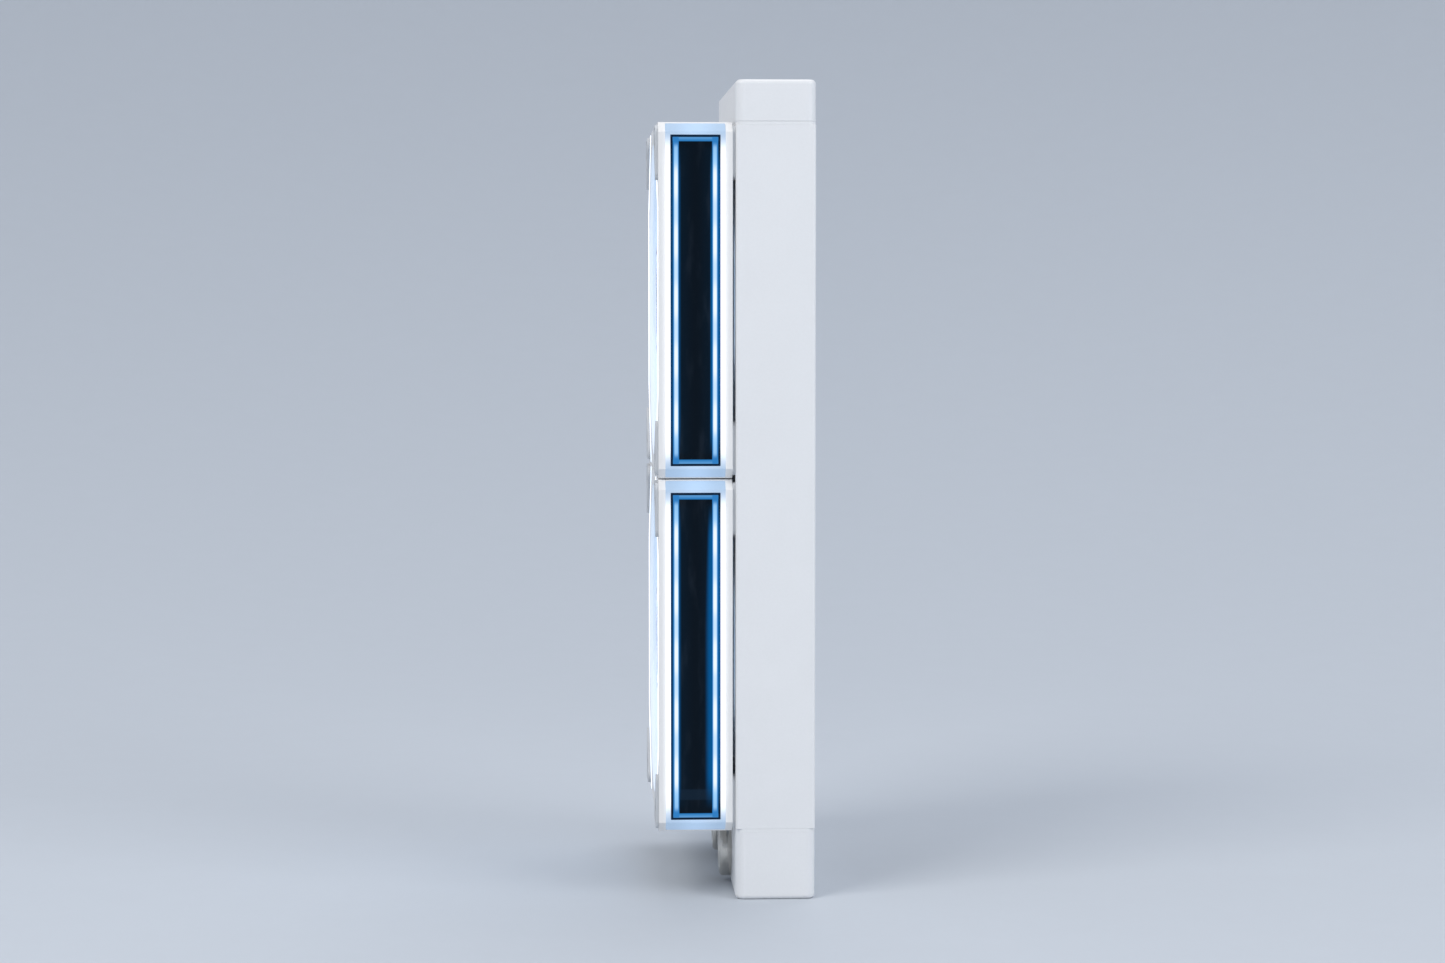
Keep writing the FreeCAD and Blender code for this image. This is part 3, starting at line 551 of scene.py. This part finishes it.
def impeller(fan):
    """Hub and blades.

    A blade is an ellipse-like section carried outward: for u round the section, the chord runs as
    the cosine of u and the thickness as its sine, on an arched middle line, turned by the pitch and
    laid on a cylinder of the row's radius. Chord, pitch, thickness, arch and lean change with the
    span, which is nought at 15 mm from the axis and one at 54 mm. The last rows are thinned to round
    the tip. The hub is its profile turned about the fan's axis.
    """
    blades, rows, around = 7, 22, 40
    tip, root = 52.2, 18.9
    v = np.concatenate([np.linspace(0, 0.985, rows - 3), [0.993, 0.998, 1.0]])
    thin = np.concatenate([np.ones(rows - 3), [0.86, 0.62, 0.30]])
    radius = root + (tip - root) * v
    span = (radius - 15.0) / 39.0
    chord = 19.0 + 15.0 * span
    pitch = np.radians(50.0 - 32.0 * span + 7.0 * span ** 2)
    thick = (2.5 - 0.8 * span) * thin + 1.6 * np.exp((root + 0.5 - radius) / 0.9)
    camber = 1.2 + 2.2 * span - 1.2 * span ** 2
    lean = np.radians(19.0 * span ** 1.5)
    u = np.linspace(0, 2 * np.pi, around, endpoint=False)
    along = -np.cos(u)[None, :] * chord[:, None] / 2 * (1 - 0.01 * (1 - thin[:, None]))
    lift = camber[:, None] * (1 - (2 * along / chord[:, None]) ** 2)
    off = lift + np.sin(u)[None, :] * thick[:, None] / 2
    side = along * np.cos(pitch)[:, None] - off * np.sin(pitch)[:, None]
    deep = along * np.sin(pitch)[:, None] + off * np.cos(pitch)[:, None]
    middle = FRONT_X / MM + 11.2                    # the blades' middle, behind the front face
    points, faces = [], []
    for blade in range(blades):
        angle = lean[:, None] + side / radius[:, None] + 2 * np.pi * blade / blades
        reach = np.broadcast_to(radius[:, None], angle.shape)
        blade_points = np.stack([middle + deep, reach * np.sin(angle), reach * np.cos(angle)], -1)
        start = len(points) * rows * around
        faces += rows_of_quads(rows, around, start)
        for ring in (0, rows - 1):
            base = start + ring * around
            for i in range(around // 2):
                across, before = (around - i) % around, (around - i - 1) % around
                faces.append([base + i, base + i + 1, base + before, base + across])
        points.append(blade_points.reshape(-1, 3))
    points = np.concatenate(points)
    hub_points, hub_faces = turned_profile(hub_profile(), 96, len(points))
    all_points = np.concatenate([points, hub_points])
    all_points[:, 2] += middle_z(fan)
    piece = mesh_piece(f"impeller_{fan}_shaped", all_points, [clean(f) for f in faces] + hub_faces)
    split_sharp_edges(piece, 40)
    return dress(piece, f"rotor_{fan}", "frosted_plastic", f"impeller_{fan}")


def clean(face):
    """The face without repeated corners."""
    return list(dict.fromkeys(face))


def middle_z(fan):
    """Height of a fan's axis in millimetres."""
    return (FAN_Z if fan == "upper" else -FAN_Z) / MM


def arc(x, r, radius, start, end, steps=5):
    """Points of a profile's round corner, from one angle to the other in degrees."""
    turn = np.radians(np.linspace(start, end, steps))
    return np.stack([x + radius * np.cos(turn), r + radius * np.sin(turn)], -1)


def hub_profile():
    """Closed outline of the hub cup as (depth, radius): rounded lip, recess for the pane, open back."""
    lip = arc(2.2, 18.5, 1.0, 180, 90)
    inner_lip = np.array([[4.7, 18.02], [4.7, 3.2], [6.3, 3.2], [6.3, 1.6], [4.3, 1.6], [4.3, 0.8]])
    recess = np.array([[3.2, 0.8], [3.2, 17.7], [1.5, 17.7]])
    back = np.array([[16.9, HUB_R], [17.2, HUB_R - 0.3], [17.2, 18.3], [16.9, 18.02]])
    outline = np.concatenate([recess, arc(1.4, 17.9, 0.2, 180, 100, 3), lip, back, inner_lip])
    outline[:, 0] += FRONT_X / MM
    return outline


def turned_profile(outline, steps, start=0, swell=0.0):
    """A closed outline of (x, radius) points turned about the X axis.

    swell is added to the radius, and may differ from step to step and from point to point.
    """
    angle = np.linspace(0, 2 * np.pi, steps, endpoint=False)
    x = np.broadcast_to(outline[None, :, 0], (steps, len(outline)))
    radius = outline[None, :, 1] + swell
    y = np.sin(angle)[:, None] * radius
    z = np.cos(angle)[:, None] * radius
    points = np.stack([x, y, z], -1).reshape(-1, 3)
    count = len(outline)
    i, j = np.meshgrid(np.arange(steps), np.arange(count), indexing="ij")
    i2, j2 = (i + 1) % steps, (j + 1) % count
    quads = np.stack([i * count + j, i * count + j2, i2 * count + j2, i2 * count + j], -1).reshape(-1, 4)
    return points, (quads + start).tolist()


def ports():
    """Two turned inserts, their outline turned about X, with a helical thread in the bore.

    Along the bore the radius is the crest's plus a triangle wave of the thread's depth, which slips
    by one pitch in a turn and dies away at the mouth and at the inner end.
    """
    low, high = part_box("port_inserts")
    face, inner, seat = low.x / MM, high.x / MM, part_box("tank_lower")[0].x / MM
    collar, spigot, crest, depth, pitch = 9.5, 7.5, 5.9, 0.62, 1.337
    lead_in, relief, steps, samples = 0.8, 0.15, 96, 84
    bore = np.linspace(face + lead_in, inner - 0.3, samples)
    outline = np.concatenate([
        np.stack([bore, np.full(samples, crest)], -1),
        [[inner, crest + 0.3], [inner, spigot - 0.3], [inner - 0.3, spigot], [seat + 0.02, spigot],
         [seat, spigot + 0.1], [seat, collar - relief]],
        arc(seat - relief, collar - relief, relief, 0, 90, 3)[1:],
        [[face + lead_in + 0.15, collar], [face + lead_in, collar - 0.05], [face + 0.1, collar - lead_in],
         [face, collar - lead_in - 0.1], [face, crest + lead_in + 0.1], [face + 0.08, crest + lead_in]],
    ])
    turn = np.linspace(0, 1, steps, endpoint=False)
    phase = ((bore[None, :] - face) / pitch - turn[:, None]) % 1.0
    wave = np.clip(1.25 * (1 - np.abs(2 * phase - 1)) - 0.125, 0, 1)
    fade = np.clip((bore - bore[0]) / 0.8, 0, 1) * np.clip((bore[-1] - bore) / 0.8, 0, 1)
    swell = np.zeros((steps, len(outline)))
    swell[:, :samples] = depth * wave * fade
    points, faces = [], []
    for y in (low.y / MM + collar, high.y / MM - collar):
        turned, quads = turned_profile(outline, steps, len(points) * steps * len(outline), swell)
        turned[:, 1] += y
        turned[:, 2] += (low.z + high.z) / 2 / MM
        points.append(turned)
        faces += quads
    piece = mesh_piece("port_inserts_threaded", np.concatenate(points), faces)
    split_sharp_edges(piece, 25)
    return dress(piece, "radiator", NODE_SLOTS["port_inserts"], "port_inserts")


def fin_strips():
    """Folded strips between the flat tubes.

    Along Z the sheet's edge swings from one tube to the next and back, resting flat against each for
    a short stretch; each leg of the fold is a point pair, and the sheet is carried along X.
    """
    tube_low, tube_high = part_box("coolant_tubes")
    low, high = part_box("fin_strips")
    tube, count, fold, rest, gauge = 2.0, 14, 1.6, 0.22, 0.4
    pitch = ((tube_high.y - tube_low.y) / MM - tube) / (count - 1)
    edges = [low.y / MM]
    for i in range(count):
        centre = tube_low.y / MM + tube / 2 + i * pitch
        edges += [centre - tube / 2, centre + tube / 2]
    edges.append(high.y / MM)
    legs = int(round((high.z - low.z) / MM / fold))
    step = (high.z - low.z) / MM / legs
    crest = np.arange(legs + 1)
    z = np.stack([crest * step - rest * step / 2, crest * step + rest * step / 2], -1).reshape(-1)
    z = np.clip(z, 0, legs * step) + low.z / MM
    swing = np.repeat(crest % 2, 2)
    x0, x1 = low.x / MM, high.x / MM
    points, faces = [], []
    for y0, y1 in zip(edges[::2], edges[1::2]):
        y = y0 + swing * (y1 - y0 - gauge)
        ring = [np.stack([np.full_like(z, x), y + off, z], -1)
                for x, off in ((x0, 0), (x0, gauge), (x1, gauge), (x1, 0))]
        start = sum(len(p) for p in points)
        strip = np.stack(ring, 1).reshape(-1, 3)
        faces += rows_of_quads(len(z), 4, start)
        last = start + (len(z) - 1) * 4
        faces += [[start + 3, start + 2, start + 1, start], [last, last + 1, last + 2, last + 3]]
        points.append(strip)
    piece = mesh_piece("fin_strips_folded", np.concatenate(points), faces)
    piece.data.shade_flat()
    return dress(piece, "radiator", "fin_aluminium", "fin_strips")


# ---- the object --------------------------------------------------------------------------------
EASED = {
    "tank_lower": 0.30, "tank_upper": 0.30, "header_plate_lower": 0.15, "header_plate_upper": 0.15,
    "side_channel_near": 0.20, "side_channel_far": 0.20, "panel_side_inserts": 0.12,
    "fan_screws": 0.10, "contact_link": 0.20, "contact_cap": 0.20, "lead_socket": 0.20,
}
EASED_PER_FAN = {
    "front_frame": 0.12, "main_frame": 0.25, "motor_mount": 0.30, "side_diffusers": 0.30,
    "side_mirrors": 0.20, "face_lights": 0.25, "front_pads": 0.12, "rear_pads": 0.12,
    "motor_cover": 0.15, "hub_mirror": 0.20,
}


def build():
    """Every piece of the object, and a finish for every CAD node that stays in view."""
    for node, width in EASED.items():
        eased_copy(node, width)
    for fan in FANS:
        for node, width in EASED_PER_FAN.items():
            eased_copy(f"{node}_{fan}", width)
        impeller(fan)
    ports()
    fin_strips()
    for name, node in NODES.items():
        node.data.materials.clear()
        node.data.materials.append(MATERIALS[NODE_SLOTS[name]])


# ---- studio ------------------------------------------------------------------------------------
def stage_material():
    """Matt grey-blue paper."""
    material, w, shader = blank("studio_paper")
    made = surface(w, colour(0.55, 0.59, 0.64), 0.85, mottle=0.02, grain=0.5, depth=0.05)
    w.put(shader["Base Color"], made["Colour"])
    shader["Roughness"].default_value = 0.85
    return material


def studio():
    """A round paper bowl, its outline turned about Z, with soft lamps inside it.

    The outline runs flat from the middle, then up a quarter of an ellipse to the rim.
    """
    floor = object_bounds()[0][2]
    flat, reach, rim, steps = 0.5, 2.8, 1.8, 128
    turn = np.linspace(0, math.pi / 2, 40)
    radius = np.concatenate([[0.0, flat / 2], flat + (reach - flat) * np.sin(turn)])
    rise = floor + np.concatenate([[0.0, 0.0], rim - rim * np.cos(turn)])
    angle = np.linspace(0, 2 * np.pi, steps, endpoint=False)
    points = np.stack([radius[:, None] * np.cos(angle), radius[:, None] * np.sin(angle),
                       np.broadcast_to(rise[:, None], (len(rise), steps))], -1).reshape(-1, 3)
    paper = mesh_piece("paper_bowl", points / MM, [clean(f) for f in rows_of_quads(len(rise), steps)])
    paper.data.materials.append(stage_material())
    bpy.context.scene.collection.objects.link(paper)
    lamps = (
        ("key", (-1.1, -1.0, 1.3), 1.0, 16.0, (1.0, 0.97, 0.93)),
        ("fill", (1.3, -1.1, 0.7), 1.2, 13.0, (0.97, 0.98, 1.0)),
        ("back", (0.3, 0.9, 1.75), 1.2, 9.0, (0.97, 0.98, 1.0)),
    )
    for name, place, size, power, tint in lamps:
        light = bpy.data.lights.new(name, "AREA")
        light.size = size
        light.energy = power
        light.color = tint
        lamp = bpy.data.objects.new(name, light)
        lamp.location = place
        aim(lamp, (0.0, 0.0, 0.0))
        bpy.context.scene.collection.objects.link(lamp)
    world = bpy.data.worlds.new("soft_room")
    world.use_nodes = True
    world.node_tree.nodes["Background"].inputs[0].default_value = colour(0.87, 0.91, 1.0)
    world.node_tree.nodes["Background"].inputs[1].default_value = 0.60
    bpy.context.scene.world = world


def aim(thing, target):
    """Turns a lamp or camera to look at a point."""
    look = Vector(target) - thing.location
    thing.rotation_euler = look.to_track_quat("-Z", "Y").to_euler()


def camera():
    """Beside the fans' lit edges, a little ahead of their front face and above their seam."""
    data = bpy.data.cameras.new("view")
    data.lens = 79.0
    eye = bpy.data.objects.new("view", data)
    ahead, away, above = 0.031, 1.064, 0.067
    eye.location = (FRONT_X - ahead, wall_low.y - away, above)
    between_fans = (-0.0285, 0.0, -0.0045)
    aim(eye, between_fans)
    bpy.context.scene.collection.objects.link(eye)
    bpy.context.scene.camera = eye


build()
studio()
camera()
bpy.context.scene.view_settings.view_transform = "Standard"
